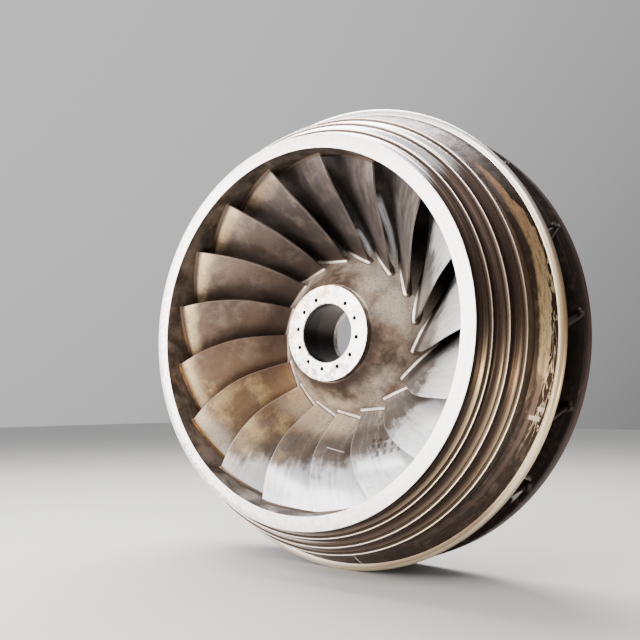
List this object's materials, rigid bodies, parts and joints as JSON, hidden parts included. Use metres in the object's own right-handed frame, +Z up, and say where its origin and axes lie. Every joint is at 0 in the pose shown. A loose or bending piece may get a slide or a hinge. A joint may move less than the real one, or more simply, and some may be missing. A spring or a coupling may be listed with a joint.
{
  "type": "francis turbine runner",
  "caption": "Francis turbine runner: curved blades between a crown disc with a bored hub and an outer band with stepped seal ridges.",
  "frame": {"origin": "on the floor, below the middle of the runner", "axes": "+Z up, the runner's axis along Y, the water outlet towards -Y and the shaft coupling towards +Y"},
  "size_m": [1.3544, 0.4276, 1.3537],
  "materials": {
    "crown_steel": "dull cast steel with brown water stains",
    "band_steel": "turned steel, tarnished dark brown and gold",
    "blade_steel": "ground steel, tarnished bronze brown",
    "machined_steel": "freshly machined, bright"
  },
  "bodies": {
    "root": {"crown_hub": "crown_steel", "crown_shoulder": "crown_steel", "crown_disc": "crown_steel", "crown_rim_ring": "band_steel", "hub_ring": "machined_steel", "coupling_flange": "machined_steel", "band": "band_steel", "seal_ring": "band_steel", "inlet_lip": "band_steel", "blade_01": "blade_steel", "blade_02": "blade_steel", "blade_03": "blade_steel", "blade_04": "blade_steel", "blade_05": "blade_steel", "blade_06": "blade_steel", "blade_07": "blade_steel", "blade_08": "blade_steel", "blade_09": "blade_steel", "blade_10": "blade_steel", "blade_11": "blade_steel", "blade_12": "blade_steel", "blade_13": "blade_steel", "blade_14": "blade_steel", "blade_15": "blade_steel", "blade_16": "blade_steel", "blade_17": "blade_steel"}
  },
  "joints": []
}
